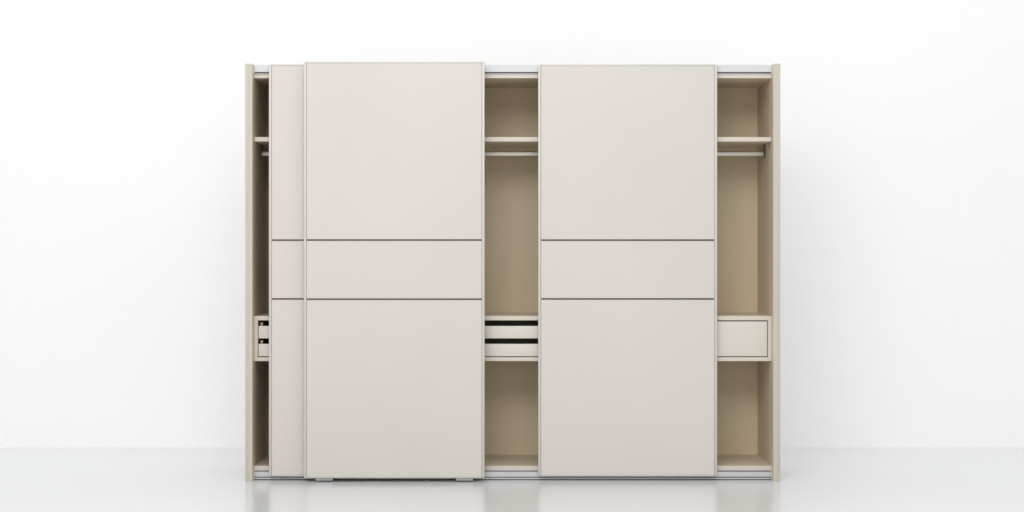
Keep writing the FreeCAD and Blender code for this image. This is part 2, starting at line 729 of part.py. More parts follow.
def make_frame(door):
    """Two stiles, a head and a foot profile; the panels sit in the head and foot grooves."""
    wall = cell.frame_wall
    rear = cell.door_deep
    pieces = [make_stile(door, "left", 1), make_stile(door, "right", -1)]
    for end, height, way in (("foot", door.base, 1), ("head", door.top, -1)):
        lip = cell.lip_wide * way
        tube = cell.frame_wide * way
        face_part = [(nothing, nothing), (tube_front, nothing), (tube_front, cell.web_thick * way),
                     (cell.lip_thick, cell.web_thick * way), (cell.lip_thick, lip), (nothing, lip)]
        back_parts = [rectangle(tube_front, nothing, rear, tube),
                      rectangle(tube_front + wall, wall * way, rear - wall, tube - wall * way)]
        pieces.append(make_cross_profile(f"{door.name}_{end}", door, height, face_part, back_parts))
    keep(f"{door.name}_door_frame", pieces)


def make_crossbars(door):
    """Two dark bars across the face, each with a web between panels and a flange behind them."""
    half_face = cell.crossbar_face / 2
    half_web = cell.web_thick / 2
    half_tube = cell.frame_wide / 2
    lip = cell.lip_thick
    face_part = [(nothing, -half_face), (lip, -half_face), (lip, -half_web), (tube_front, -half_web),
                 (tube_front, half_web), (lip, half_web), (lip, half_face), (nothing, half_face)]
    flange = [rectangle(tube_front, -half_tube, tube_front + cell.crossbar_flange, half_tube)]
    bars = []
    for end, height in (("upper", cell.upper_crossbar), ("lower", cell.lower_crossbar)):
        bars.append(make_cross_profile(f"{door.name}_{end}_bar", door, height, face_part, flange))
    keep(f"{door.name}_door_crossbars", bars)


def make_panels(door):
    """Three lacquered panels, each held top and bottom in the profiles' grooves."""
    half_web = cell.web_thick / 2
    spans = {"upper": (cell.upper_crossbar + half_web, door.top - cell.web_thick),
             "band": (cell.lower_crossbar + half_web, cell.upper_crossbar - half_web),
             "lower": (door.base + cell.web_thick, cell.lower_crossbar - half_web)}
    for name, (low, high) in spans.items():
        start = (door.left + panel_edge, door.face + cell.lip_thick, low)
        extent = (door.wide - panel_edge * 2, cell.panel_thick, high - low)
        keep(f"{door.name}_door_panel_{name}", [board(f"{door.name}_{name}_sheet", start, extent)])


def make_hangers(door, wheel_lane, outline):
    """Two bent steel plates on the back of the door, each with an axle for its roller."""
    axle_from = wheel_lane - cell.wheel_wide / 2 - cell.plate_thick
    axle_long = cell.wheel_wide + cell.plate_thick * 2
    hangers = []
    for side, middle in ends_of(door, cell.hanger_inset):
        name = f"{door.name}_hanger_{side}"
        start = (middle - cell.hanger_wide / 2, nothing, nothing)
        plate = profile_along_x(f"{name}_plate", [outline], cell.hanger_wide, start)
        start = (middle, axle_from, axle_height)
        axle = rod(f"{name}_axle", start, cell.axle_radius, axle_long, (1, 0, 0), -90)
        hanger = doc.addObject("Part::Fuse", name)
        hanger.Base = plate
        hanger.Tool = axle
        hangers.append(hanger)
    keep(f"{door.name}_door_hangers", hangers)


def ends_of(door, inset):
    """The two x positions that lie inset from a door's edges."""
    return (("left", door.left + inset), ("right", door.left + door.wide - inset))


def make_rollers(door, wheel_lane):
    """Two grooved nylon rollers, each free on its axle."""
    half = cell.wheel_wide / 2
    groove = cell.wheel_groove / 2
    bore = cell.axle_radius + cell.axle_play
    outline = [(-half, bore), (half, bore), (half, cell.wheel_radius), (groove, cell.wheel_radius),
               (groove, cell.rolling_radius), (-groove, cell.rolling_radius),
               (-groove, cell.wheel_radius), (-half, cell.wheel_radius)]
    for side, middle in ends_of(door, cell.hanger_inset):
        name = f"{door.name}_roller_{side}"
        start = (middle, wheel_lane, axle_height)
        keep(name, [turned(f"{name}_wheel", "YZ_Plane", outline, "H_Axis", start)])


def make_rear_door_gear(door):
    """Hangers that enter the running rail's slot from below, and guides in the upper guide slot."""
    thick = cell.plate_thick
    arm_base = rail_floor + cell.rear_arm_rise
    plate_rear = near_wheel - cell.wheel_wide / 2 - cell.wheel_gap
    tip = axle_height + cell.hanger_drop
    screwed_top = door.top - cell.frame_wall
    hanger = [(door.rear, arm_base), (plate_rear, arm_base), (plate_rear, tip), (plate_rear - thick, tip),
              (plate_rear - thick, arm_base + thick), (door.rear + thick, arm_base + thick),
              (door.rear + thick, screwed_top), (door.rear, screwed_top)]
    make_hangers(door, near_wheel, hanger)
    make_rollers(door, near_wheel)
    play = cell.slider_play
    tongue_top = upper_slot_top - play
    tongue_base = tongue_top - thick
    slider_front = guide_front + play
    slider_rear = guide_rear - play
    slider_base = tongue_top - cell.slider_high
    leg_base = door.base + cell.frame_wall
    leg_rear = door.rear + cell.leg_thick
    outline = [(door.rear, leg_base), (leg_rear, leg_base), (leg_rear, tongue_base),
               (slider_front, tongue_base), (slider_front, slider_base), (slider_rear, slider_base),
               (slider_rear, tongue_top), (door.rear, tongue_top)]
    guides = []
    for side, middle in ends_of(door, cell.guide_inset):
        start = (middle - cell.guide_wide / 2, nothing, nothing)
        guides.append(profile_along_x(f"{door.name}_guide_{side}", [outline],
                                      cell.guide_wide, start))
    keep(f"{door.name}_door_guides", guides)


def make_front_door_gear(door):
    """Hangers that pass over the rear doors, and feet whose tongues pass under them."""
    thick = cell.plate_thick
    arm_top = door.top - cell.front_arm_below
    arm_base = arm_top - thick
    plate_rear = far_wheel - cell.wheel_wide / 2 - cell.wheel_gap
    tip = axle_height - cell.hanger_drop
    leg_base = door.top - cell.frame_wide + cell.frame_wall
    hanger = [(door.rear, leg_base), (door.rear + thick, leg_base), (door.rear + thick, arm_base),
              (plate_rear - thick, arm_base), (plate_rear - thick, tip), (plate_rear, tip),
              (plate_rear, arm_top), (door.rear, arm_top)]
    make_hangers(door, far_wheel, hanger)
    make_rollers(door, far_wheel)
    play = cell.slider_play
    tongue_base = cell.lower_slot + play
    tongue_top = tongue_base + thick
    foot_front = door.face + cell.foot_inset
    slider_front = guide_front + play
    slider_rear = guide_rear - play
    slider_top = tongue_base + cell.slider_high
    tongue = [(foot_front, tongue_base), (slider_rear, tongue_base), (slider_rear, slider_top),
              (slider_front, slider_top), (slider_front, tongue_top), (foot_front, tongue_top)]
    feet = []
    for side, middle in ends_of(door, cell.guide_inset):
        name = f"{door.name}_guide_{side}"
        start = (middle - cell.tongue_wide / 2, nothing, nothing)
        strip = profile_along_x(f"{name}_tongue", [tongue], cell.tongue_wide, start)
        block_at = (middle - cell.foot_wide / 2, foot_front, door.base - cell.foot_high)
        block = board(f"{name}_block", block_at, (cell.foot_wide, cell.foot_deep, cell.foot_high))
        foot = doc.addObject("Part::Fuse", name)
        foot.Base = block
        foot.Tool = strip
        feet.append(foot)
    keep(f"{door.name}_door_guides", feet)


def make_doors():
    """Two doors in the rear plane and one that runs in front of them."""
    rear_plane = side_front + cell.rear_door_inset
    rear = (rear_plane, cell.rear_door_wide, cell.rear_door_base, cell.rear_door_top)
    front = (front_face, cell.front_door_wide, cell.front_door_base, cell.front_door_top)
    left_door = Door("left", cell.left_door_at, *rear)
    right_door = Door("right", cell.right_door_at, *rear)
    middle_door = Door("middle", cell.middle_door_at, *front)
    for door in (left_door, middle_door, right_door):
        make_frame(door)
        make_crossbars(door)
        make_panels(door)
    make_rear_door_gear(left_door)
    make_front_door_gear(middle_door)
    make_rear_door_gear(right_door)


# ---- Build, test and write -------------------------------------------------------------------------

def check_document():
    """Stop if any object failed or any sub-part's shape is empty or not valid."""
    for item in doc.Objects:
        if "Invalid" in item.State or "Error" in item.State:
            sys.exit(f"{item.Label} failed: {item.State}")
    for subpart in subparts:
        shape = subpart.Shape
        if shape.isNull() or not shape.isValid() or not shape.Solids:
            sys.exit(f"{subpart.Label} has no valid solid")


def write_subparts():
    """Write each sub-part to its own file."""
    os.makedirs("parts", exist_ok=True)
    for subpart in subparts:
        subpart.Shape.exportStep(f"parts/{subpart.Label}.step")


make_sides()
make_partitions()
make_level_boards()
make_back_panels()
make_shelf_pins()
make_clothes_rails()
make_plinth()
make_levelling_feet()
make_running_rail()
make_guide_rail()
make_rail_caps()
make_drawers()
make_doors()
doc.recompute()
check_document()
write_subparts()
print(f"{len(subparts)} sub-parts, {sum(len(item.Shape.Solids) for item in subparts)} solids")
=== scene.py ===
import json
import math

import bmesh
import bpy
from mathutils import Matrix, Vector

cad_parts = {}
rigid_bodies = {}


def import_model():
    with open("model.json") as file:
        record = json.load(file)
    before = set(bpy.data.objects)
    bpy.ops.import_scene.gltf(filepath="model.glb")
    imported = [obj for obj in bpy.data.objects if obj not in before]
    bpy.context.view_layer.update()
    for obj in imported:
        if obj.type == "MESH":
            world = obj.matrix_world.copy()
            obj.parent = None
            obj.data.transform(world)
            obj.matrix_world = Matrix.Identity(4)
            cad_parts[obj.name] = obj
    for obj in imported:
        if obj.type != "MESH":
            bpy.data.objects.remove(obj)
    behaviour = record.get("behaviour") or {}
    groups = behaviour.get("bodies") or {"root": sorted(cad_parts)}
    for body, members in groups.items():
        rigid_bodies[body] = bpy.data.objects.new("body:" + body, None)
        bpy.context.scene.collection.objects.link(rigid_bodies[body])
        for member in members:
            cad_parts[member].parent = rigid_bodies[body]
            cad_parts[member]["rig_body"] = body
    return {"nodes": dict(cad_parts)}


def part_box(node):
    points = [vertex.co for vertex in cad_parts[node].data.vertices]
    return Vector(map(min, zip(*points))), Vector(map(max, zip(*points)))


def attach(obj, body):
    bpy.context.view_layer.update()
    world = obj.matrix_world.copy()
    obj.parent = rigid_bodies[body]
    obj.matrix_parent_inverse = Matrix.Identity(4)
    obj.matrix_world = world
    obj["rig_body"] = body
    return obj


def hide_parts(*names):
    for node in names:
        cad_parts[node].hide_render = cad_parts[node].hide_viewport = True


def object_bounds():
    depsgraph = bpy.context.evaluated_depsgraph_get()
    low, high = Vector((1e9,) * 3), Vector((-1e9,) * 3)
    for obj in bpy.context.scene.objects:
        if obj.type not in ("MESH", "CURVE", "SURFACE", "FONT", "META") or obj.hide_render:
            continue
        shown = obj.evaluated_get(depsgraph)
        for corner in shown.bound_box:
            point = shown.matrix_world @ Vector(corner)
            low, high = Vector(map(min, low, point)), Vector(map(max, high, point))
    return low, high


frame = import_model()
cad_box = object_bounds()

# ---- Carcass boards ------------------------------------------------------------------------------
# Side boards, partitions, top and bottom panels, shelves, plinth and backs: board faced with beige
# melamine that has a fine pressed texture, edged with strip and joined with cam fittings. The faces
# are painted lighter than their edge strip, and the backs lighter and yellower still: painted light
# that brightens the inside of the bays. The side boards' front edges get a darker strip than the rest.
weld_distance = 1e-6
flat_angle = math.radians(0.5)
smooth_angle = math.radians(21)
corner_angle = math.radians(50)
facing_share = 0.7


def closed_solids(node):
    """The triangles of a CAD node, split into its closed solids, which follow one another."""
    mesh = frame["nodes"][node].data
    mesh.calc_loop_triangles()
    corners = [tuple(round(value, 6) for value in vertex.co) for vertex in mesh.vertices]
    solids = []
    current = []
    open_edges = set()
    for triangle in mesh.loop_triangles:
        points = [corners[index] for index in triangle.vertices]
        current.append(points)
        for start, end in zip(points, points[1:] + points[:1]):
            if (end, start) in open_edges:
                open_edges.remove((end, start))
            else:
                open_edges.add((start, end))
        if not open_edges:
            solids.append(current)
            current = []
    return solids + ([current] if current else [])


def ease_solid(shape, ease, steps):
    """Merge one solid's flat faces again and round its sharp corners."""
    bmesh.ops.remove_doubles(shape, verts=shape.verts, dist=weld_distance)
    bmesh.ops.dissolve_limit(shape, angle_limit=flat_angle, verts=shape.verts, edges=shape.edges)
    corners = [edge for edge in shape.edges if edge.is_manifold and edge.calc_face_angle() > corner_angle]
    if ease > 0 and corners:
        bmesh.ops.bevel(shape, geom=corners, offset=ease, segments=steps, profile=0.5,
                        affect="EDGES", clamp_overlap=True)


def add_solid(whole, shape):
    """Copy one solid into a larger mesh and return its faces there."""
    copied = {vertex: whole.verts.new(vertex.co) for vertex in shape.verts}
    faces = [whole.faces.new([copied[vertex] for vertex in face.verts]) for face in shape.faces]
    shape.free()
    return faces


def plain_mesh(name, shape):
    """The finished mesh of a shape that has been built up."""
    mesh = bpy.data.meshes.new(name)
    shape.to_mesh(mesh)
    shape.free()
    return mesh


def finish_piece(piece, node, material):
    """Give a piece its material and let it stand for its CAD node on the same body."""
    piece.data.materials.clear()
    piece.data.materials.append(material)
    piece.data.polygons.foreach_set("use_smooth", [True] * len(piece.data.polygons))
    piece.data.set_sharp_from_angle(angle=smooth_angle)
    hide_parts(node)
    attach(piece, frame["nodes"][node]["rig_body"])


def face_with(piece, material, toward):
    """Give the faces that look along +y (toward is 1) or -y (toward is -1) another material."""
    piece.data.materials.append(material)
    for polygon in piece.data.polygons:
        polygon.material_index = 1 if polygon.normal.y * toward > facing_share else 0


def eased_piece(node, material, ease=0.0008, steps=2):
    """A copy of a CAD node with eased corners; 'level' marks the solids that lie along x or y."""
    whole = bmesh.new()
    level = whole.faces.layers.float.new("level")
    for triangles in closed_solids(node):
        shape = bmesh.new()
        for points in triangles:
            shape.faces.new([shape.verts.new(point) for point in points])
        ease_solid(shape, ease, steps)
        spans = [max(v.co[i] for v in shape.verts) - min(v.co[i] for v in shape.verts) for i in range(3)]
        lies = 0.0 if spans[2] == max(spans) else 1.0
        for face in add_solid(whole, shape):
            face[level] = lies
    piece = bpy.data.objects.new(node + "_piece", plain_mesh(node + "_piece", whole))
    bpy.context.scene.collection.objects.link(piece)
    finish_piece(piece, node, material)
    return piece


def start_material(name):
    """A new material with a Principled shader, its node tree and its object coordinates."""
    material = bpy.data.materials.new(name)
    material.use_nodes = True
    tree = material.node_tree
    shader = tree.nodes["Principled BSDF"]
    place = tree.nodes.new("ShaderNodeTexCoord").outputs["Object"]
    return material, tree, shader, place


def noise(tree, place, stretch, detail=3.0, roughness=0.55):
    """Noise on coordinates stretched per axis; the numbers are roughly waves per metre."""
    mapping = tree.nodes.new("ShaderNodeMapping")
    mapping.inputs["Scale"].default_value = stretch
    texture = tree.nodes.new("ShaderNodeTexNoise")
    texture.inputs["Scale"].default_value = 1.0
    texture.inputs["Detail"].default_value = detail
    texture.inputs["Roughness"].default_value = roughness
    tree.links.new(place, mapping.inputs["Vector"])
    tree.links.new(mapping.outputs["Vector"], texture.inputs["Vector"])
    return texture.outputs["Fac"]


def shades(tree, factor, dark, light, low=0.3, high=0.7):
    """A colour that runs from dark to light as the factor runs from low to high."""
    ramp = tree.nodes.new("ShaderNodeValToRGB")
    ramp.color_ramp.elements[0].position = low
    ramp.color_ramp.elements[0].color = (*dark, 1)
    ramp.color_ramp.elements[1].position = high
    ramp.color_ramp.elements[1].color = (*light, 1)
    tree.links.new(factor, ramp.inputs["Fac"])
    return ramp.outputs["Color"]


def spread(tree, factor, low, high):
    """The factor stretched to run from low to high, for a roughness."""
    fit = tree.nodes.new("ShaderNodeMapRange")
    fit.inputs["To Min"].default_value = low
    fit.inputs["To Max"].default_value = high
    tree.links.new(factor, fit.inputs["Value"])
    return fit.outputs["Result"]


def relief(tree, shader, factor, depth, strength):
    """Bump of a given depth in metres, at a share of its full strength."""
    bump = tree.nodes.new("ShaderNodeBump")
    bump.inputs["Strength"].default_value = strength
    bump.inputs["Distance"].default_value = depth
    tree.links.new(factor, bump.inputs["Height"])
    tree.links.new(bump.outputs["Normal"], shader.inputs["Normal"])


def blend_factors(tree, one, two, share):
    """Two noises mixed in a fixed share."""
    mix = tree.nodes.new("ShaderNodeMix")
    mix.inputs[0].default_value = share
    tree.links.new(one, mix.inputs[2])
    tree.links.new(two, mix.inputs[3])
    return mix.outputs[0]


def melamine(name, dark, light, gloss):
    """Pressed melamine: a fine fleck over slow drifts of shade, and shallow pores."""
    material, tree, shader, place = start_material(name)
    fleck = noise(tree, place, (900, 900, 500), detail=2.0)
    drift = noise(tree, place, (2.2, 2.2, 1.1))
    tree.links.new(shades(tree, blend_factors(tree, fleck, drift, 0.45), dark, light),
                   shader.inputs["Base Color"])
    tree.links.new(spread(tree, fleck, gloss - 0.06, gloss + 0.08), shader.inputs["Roughness"])
    relief(tree, shader, fleck, 0.00006, 0.6)
    shader.inputs["Specular IOR Level"].default_value = 0.35
    return material


def edge_strip(name, dark, light):
    """Edging strip: smooth, with the faint drawn lines of the extruded strip along its length."""
    material, tree, shader, place = start_material(name)
    upright = noise(tree, place, (1400, 1400, 3), detail=2.0)
    along = noise(tree, place, (3, 1400, 1400), detail=2.0)
    drawn = blend_factors(tree, upright, along, 0.5)
    tree.links.new(shades(tree, drawn, dark, light), shader.inputs["Base Color"])
    tree.links.new(spread(tree, drawn, 0.38, 0.5), shader.inputs["Roughness"])
    relief(tree, shader, drawn, 0.00002, 0.5)
    return material


# The faces are painted lighter than the edge strips: painted light for the inside of the bays.
beige_board_painted_light = melamine("beige_melamine_painted_light", (0.665, 0.57, 0.435), (0.74, 0.64, 0.495), 0.5)
shelf_strip = edge_strip("beige_edge_strip", (0.63, 0.575, 0.49), (0.68, 0.625, 0.535))
side_strip = edge_strip("side_edge_strip", (0.55, 0.503, 0.418), (0.595, 0.544, 0.453))
for board in ("side_panel_left", "side_panel_right"):
    face_with(eased_piece(board, beige_board_painted_light), side_strip, toward=-1)
for board in ("partition_left", "partition_right", "top_panels", "bottom_panels", "shelves"):
    face_with(eased_piece(board, beige_board_painted_light), shelf_strip, toward=-1)
eased_piece("plinth_boards", beige_board_painted_light)
# The backs are painted lighter and yellower than the other boards: painted light for the back of the bays.
back_melamine_painted_light = melamine("beige_back_panel_painted_light", (0.72, 0.60, 0.42), (0.78, 0.655, 0.465), 0.55)
back_foil = melamine("rear_balancing_foil", (0.54, 0.51, 0.46), (0.60, 0.57, 0.515), 0.6)
face_with(eased_piece("back_panels", back_melamine_painted_light, ease=0.0003, steps=1), back_foil, toward=1)

# ---- Side cladding -------------------------------------------------------------------------------
# A second board outside each side board, in matt greige lacquer a little greyer than the carcass.
# It is screwed from inside, through the side board, after the carcass stands.


def lacquer(name, dark, light, gloss, coat):
    """Sprayed lacquer: almost even colour, with the faint ripple that spraying leaves."""
    material, tree, shader, place = start_material(name)
    drift = noise(tree, place, (1.3, 1.3, 0.9), detail=2.0)
    ripple = noise(tree, place, (260, 260, 260), detail=2.0, roughness=0.4)
    tree.links.new(shades(tree, drift, dark, light, 0.25, 0.75), shader.inputs["Base Color"])
    tree.links.new(spread(tree, ripple, gloss - 0.03, gloss + 0.04), shader.inputs["Roughness"])
    relief(tree, shader, ripple, 0.00002, 0.5)
    shader.inputs["Coat Weight"].default_value = coat
    shader.inputs["Coat Roughness"].default_value = 0.22
    return material


greige_lacquer = lacquer("greige_matt_lacquer", (0.53, 0.492, 0.422), (0.57, 0.532, 0.458), 0.5, 0.0)
for board in ("side_cladding_left", "side_cladding_right"):
    eased_piece(board, greige_lacquer, ease=0.0012, steps=3)

# ---- Back joint strips ---------------------------------------------------------------------------
# White extruded plastic strips that cover the upright joints between the three back panels. They
# are pressed into the gap from behind before the back is screwed on.


def moulding(name, dark, light, gloss, depth=0.00004):
    """Moulded plastic with a fine spark-eroded grain."""
    material, tree, shader, place = start_material(name)
    grain = noise(tree, place, (1500, 1500, 1500), detail=1.0)
    tree.links.new(shades(tree, grain, dark, light), shader.inputs["Base Color"])
    tree.links.new(spread(tree, grain, gloss - 0.05, gloss + 0.1), shader.inputs["Roughness"])
    relief(tree, shader, grain, depth, 0.5)
    return material


def boxes_of(node):
    """The low and high corners of each solid of a CAD node."""
    corners = []
    for triangles in closed_solids(node):
        points = [point for triangle in triangles for point in triangle]
        low = Vector(min(point[i] for point in points) for i in range(3))
        high = Vector(max(point[i] for point in points) for i in range(3))
        corners.append((low, high))
    return corners


def new_piece(name, mesh, body, material=None):
    """A new piece on a body, with the given material if there is one."""
    piece = bpy.data.objects.new(name, mesh)
    bpy.context.scene.collection.objects.link(piece)
    if material:
        mesh.materials.append(material)
    mesh.polygons.foreach_set("use_smooth", [True] * len(mesh.polygons))
    mesh.set_sharp_from_angle(angle=smooth_angle)
    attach(piece, body)


def strips_mesh(name, boxes, ease):
    """One mesh of boxes with rounded corners."""
    whole = bmesh.new()
    for low, high in boxes:
        shape = bmesh.new()
        bmesh.ops.create_cube(shape, size=1.0)
        for vertex in shape.verts:
            vertex.co = Vector((low[i] + high[i]) / 2 + vertex.co[i] * (high[i] - low[i]) for i in range(3))
        bmesh.ops.bevel(shape, geom=shape.edges[:], offset=ease, segments=2, profile=0.5, affect="EDGES")
        add_solid(whole, shape)
    return plain_mesh(name, whole)


white_plastic = moulding("white_plastic", (0.66, 0.66, 0.64), (0.74, 0.74, 0.72), 0.4)
backs = boxes_of("back_panels")
back_low, back_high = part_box("back_panels")
joint_half = 0.012
joint_thick = 0.0014
joint_short = 0.004
joint_round = 0.0005
joint_strips = []
for partition in ("partition_left", "partition_right"):
    low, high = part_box(partition)
    middle = (low.x + high.x) / 2
    joint_strips.append(((middle - joint_half, back_high.y, back_low.z + joint_short),
                         (middle + joint_half, back_high.y + joint_thick, back_high.z - joint_short)))
new_piece("back_joint_strips", strips_mesh("back_joint_strips", joint_strips, joint_round),
          "carcass", white_plastic)

# ---- Carcass screws ------------------------------------------------------------------------------
# Zinc-plated pan-head screws with a cross recess, left as the driver stopped, each turned its own
# way. They hold the backs, the clothes rail brackets and the floor of the running rail.


def metal(name, dark, light, gloss, stretch):
    """Bare or plated metal: shade and gloss follow one noise, stretched as the metal was worked."""
    material, tree, shader, place = start_material(name)
    worked = noise(tree, place, stretch, detail=4.0)
    tree.links.new(shades(tree, worked, dark, light), shader.inputs["Base Color"])
    tree.links.new(spread(tree, worked, gloss - 0.07, gloss + 0.09), shader.inputs["Roughness"])
    relief(tree, shader, worked, 0.00001, 0.5)
    shader.inputs["Metallic"].default_value = 1.0
    return material


def stacked_rings(name, rings):
    """A closed mesh through rings of equally many points, from the lowest ring to the last."""
    shape = bmesh.new()
    rows = [[shape.verts.new(point) for point in ring] for ring in rings]
    for lower, upper in zip(rows, rows[1:]):
        for k in range(len(lower)):
            after = (k + 1) % len(lower)
            shape.faces.new((lower[k], lower[after], upper[after], upper[k]))
    shape.faces.new(rows[-1])
    shape.faces.new(rows[0][::-1])
    return plain_mesh(name, shape)


def screw_head():
    """A pan head of radius 1 that points up, with a cross recess and its foot in the board."""
    rings = []
    outer = [math.radians(30 * k - 15) for k in range(12)]
    for radius, height in ((1.0, -0.25), (1.0, 0.12), (0.9, 0.30), (0.66, 0.40)):
        rings.append([(radius * math.cos(a), radius * math.sin(a), height) for a in outer])
    arm, web = 0.46, 0.085
    cross = []
    for k in range(4):
        turn = math.radians(90 * k)
        for x, y in ((arm, -web), (arm, web), (web, web)):
            cross.append((x * math.cos(turn) - y * math.sin(turn), x * math.sin(turn) + y * math.cos(turn)))
    for shrink, height in ((1.0, 0.42), (0.75, 0.12)):
        rings.append([(x * shrink, y * shrink, height) for x, y in cross])
    return stacked_rings("screw_head", rings)


def scatter_group():
    """Geometry Nodes: a fastener on each point, square to its face and turned at random."""
    group = bpy.data.node_groups.new("fasteners_on_points", "GeometryNodeTree")
    group.interface.new_socket("Geometry", in_out="INPUT", socket_type="NodeSocketGeometry")
    group.interface.new_socket("Fastener", in_out="INPUT", socket_type="NodeSocketObject")
    group.interface.new_socket("Finish", in_out="INPUT", socket_type="NodeSocketMaterial")
    group.interface.new_socket("Seed", in_out="INPUT", socket_type="NodeSocketInt")
    group.interface.new_socket("Turn", in_out="INPUT", socket_type="NodeSocketFloat")
    group.interface.new_socket("Geometry", in_out="OUTPUT", socket_type="NodeSocketGeometry")
    add = group.nodes.new
    link = group.links.new
    given = add("NodeGroupInput")
    facing = add("GeometryNodeInputNamedAttribute")
    facing.data_type = "FLOAT_VECTOR"
    facing.inputs["Name"].default_value = "facing"
    size = add("GeometryNodeInputNamedAttribute")
    size.data_type = "FLOAT"
    size.inputs["Name"].default_value = "size"
    align = add("FunctionNodeAlignRotationToVector")
    align.axis = "Z"
    angle = add("FunctionNodeRandomValue")
    angle.data_type = "FLOAT"
    spin = add("FunctionNodeAxisAngleToRotation")
    spin.inputs["Axis"].default_value = (0, 0, 1)
    turned = add("FunctionNodeRotateRotation")
    turned.rotation_space = "LOCAL"
    fastener = add("GeometryNodeObjectInfo")
    place = add("GeometryNodeInstanceOnPoints")
    real = add("GeometryNodeRealizeInstances")
    finish = add("GeometryNodeSetMaterial")
    result = add("NodeGroupOutput")
    link(facing.outputs["Attribute"], align.inputs["Vector"])
    link(given.outputs["Seed"], angle.inputs["Seed"])
    link(given.outputs["Turn"], [s for s in angle.inputs if s.name == "Max" and s.type == "VALUE"][0])
    link([s for s in angle.outputs if s.type == "VALUE"][0], spin.inputs["Angle"])
    link(align.outputs["Rotation"], turned.inputs["Rotation"])
    link(spin.outputs["Rotation"], turned.inputs["Rotate By"])
    link(given.outputs["Fastener"], fastener.inputs["Object"])
    link(given.outputs["Geometry"], place.inputs["Points"])
    link(fastener.outputs["Geometry"], place.inputs["Instance"])
    link(turned.outputs["Rotation"], place.inputs["Rotation"])
    link(size.outputs["Attribute"], place.inputs["Scale"])
    link(place.outputs["Instances"], real.inputs["Geometry"])
    link(real.outputs["Geometry"], finish.inputs["Geometry"])
    link(given.outputs["Finish"], finish.inputs["Material"])
    link(finish.outputs["Geometry"], result.inputs["Geometry"])
    return group


scatter_nodes = scatter_group()
full_turn = 6.2832


def scattered(name, spots, shape, material, body, turn=full_turn, seed=1):
    """Put a shape on every spot (point, facing, size) and keep the result as one plain mesh."""
    points = bpy.data.meshes.new(name + "_points")
    points.from_pydata([spot[0] for spot in spots], [], [])
    facing = points.attributes.new("facing", "FLOAT_VECTOR", "POINT")
    facing.data.foreach_set("vector", [value for spot in spots for value in spot[1]])
    size = points.attributes.new("size", "FLOAT", "POINT")
    size.data.foreach_set("value", [spot[2] for spot in spots])
    pattern = bpy.data.objects.new(name + "_pattern", shape)
    piece = bpy.data.objects.new(name + "_spots", points)
    bpy.context.scene.collection.objects.link(piece)
    modifier = piece.modifiers.new("fasteners", "NODES")
    modifier.node_group = scatter_nodes
    chosen = {"Fastener": pattern, "Finish": material, "Seed": seed, "Turn": turn}
    for socket in scatter_nodes.interface.items_tree:
        if socket.in_out == "INPUT" and socket.name in chosen:
            modifier[socket.identifier] = chosen[socket.name]
    ready = piece.evaluated_get(bpy.context.evaluated_depsgraph_get())
    mesh = bpy.data.meshes.new_from_object(ready)
    bpy.data.objects.remove(piece)
    bpy.data.objects.remove(pattern)
    mesh.name = name
    new_piece(name, mesh, body)


zinc_steel = metal("zinc_plated_steel", (0.46, 0.47, 0.47), (0.62, 0.63, 0.64), 0.34, (90, 90, 90))
pan_head = screw_head()
screw_spots = []
back_head_radius = 0.0030
side_inset = 0.020
side_end = 0.030
side_screws = 10
rim_inset = 0.012
rim_screws = 3
for low, high in backs:
    for x in (low.x + side_inset, high.x - side_inset):
        for k in range(side_screws):
            z = low.z + side_end + k * (high.z - low.z - 2 * side_end) / (side_screws - 1)
            screw_spots.append(((x, high.y, z), (0, 1, 0), back_head_radius))
    for k in range(1, rim_screws + 1):
        x = low.x + k * (high.x - low.x) / (rim_screws + 1)
        screw_spots.append(((x, high.y, low.z + rim_inset), (0, 1, 0), back_head_radius))
        screw_spots.append(((x, high.y, high.z - rim_inset), (0, 1, 0), back_head_radius))
bracket_head_radius = 0.0036
bracket_shares = (0.3, 0.72)
touching = 0.001
right_faces = [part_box(board)[1].x for board in ("side_panel_left", "partition_left", "partition_right")]
hanging_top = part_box("clothes_rails")[1].z
for low, high in boxes_of("clothes_rail_brackets"):
    toward = 1 if min(abs(low.x - face) for face in right_faces) < touching else -1
    front = high.x if toward > 0 else low.x
    for share in bracket_shares:
        z = hanging_top + (high.z - hanging_top) * share
        screw_spots.append(((front, (low.y + high.y) / 2, z), (toward, 0, 0), bracket_head_radius))
rail_head_radius = 0.0038
rail_screws = 7
rail_end = 0.06
rail_floor = 0.003
rail_middle = 0.0525
rail_low, rail_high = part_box("top_running_rail")
for k in range(rail_screws):
    x = rail_low.x + rail_end + k * (rail_high.x - rail_low.x - 2 * rail_end) / (rail_screws - 1)
    screw_spots.append(((x, rail_low.y + rail_middle, rail_low.z + rail_floor), (0, 0, 1),
                        rail_head_radius))
scattered("carcass_screws", screw_spots, pan_head, zinc_steel, "carcass")

# ---- Cam cover caps ------------------------------------------------------------------------------
# Beige moulded discs pressed over the cam fittings that pull the top panels to the upright
# boards, two at each end of each panel, on its underside.


def cap_disc():
    """A shallow domed disc of radius 1 that points up, with its rim in the board."""
    rings = []
    around = [k * math.pi / 12 for k in range(24)]
    for radius, height in ((1.0, -0.04), (1.0, 0.05), (0.93, 0.09), (0.5, 0.12)):
        rings.append([(radius * math.cos(a), radius * math.sin(a), height) for a in around])
    return stacked_rings("cap_disc", rings)


beige_moulding = moulding("beige_moulding", (0.56, 0.48, 0.36), (0.62, 0.54, 0.41), 0.4)
cap_radius = 0.0085
cap_from_end = 0.035
cap_from_edge = 0.070
cap_spots = []
for low, high in boxes_of("top_panels"):
    for x in (low.x + cap_from_end, high.x - cap_from_end):
        for y in (low.y + cap_from_edge, high.y - cap_from_edge):
            cap_spots.append(((x, y, low.z), (0, 0, -1), cap_radius))
scattered("cam_cover_caps", cap_spots, cap_disc(), beige_moulding, "carcass")

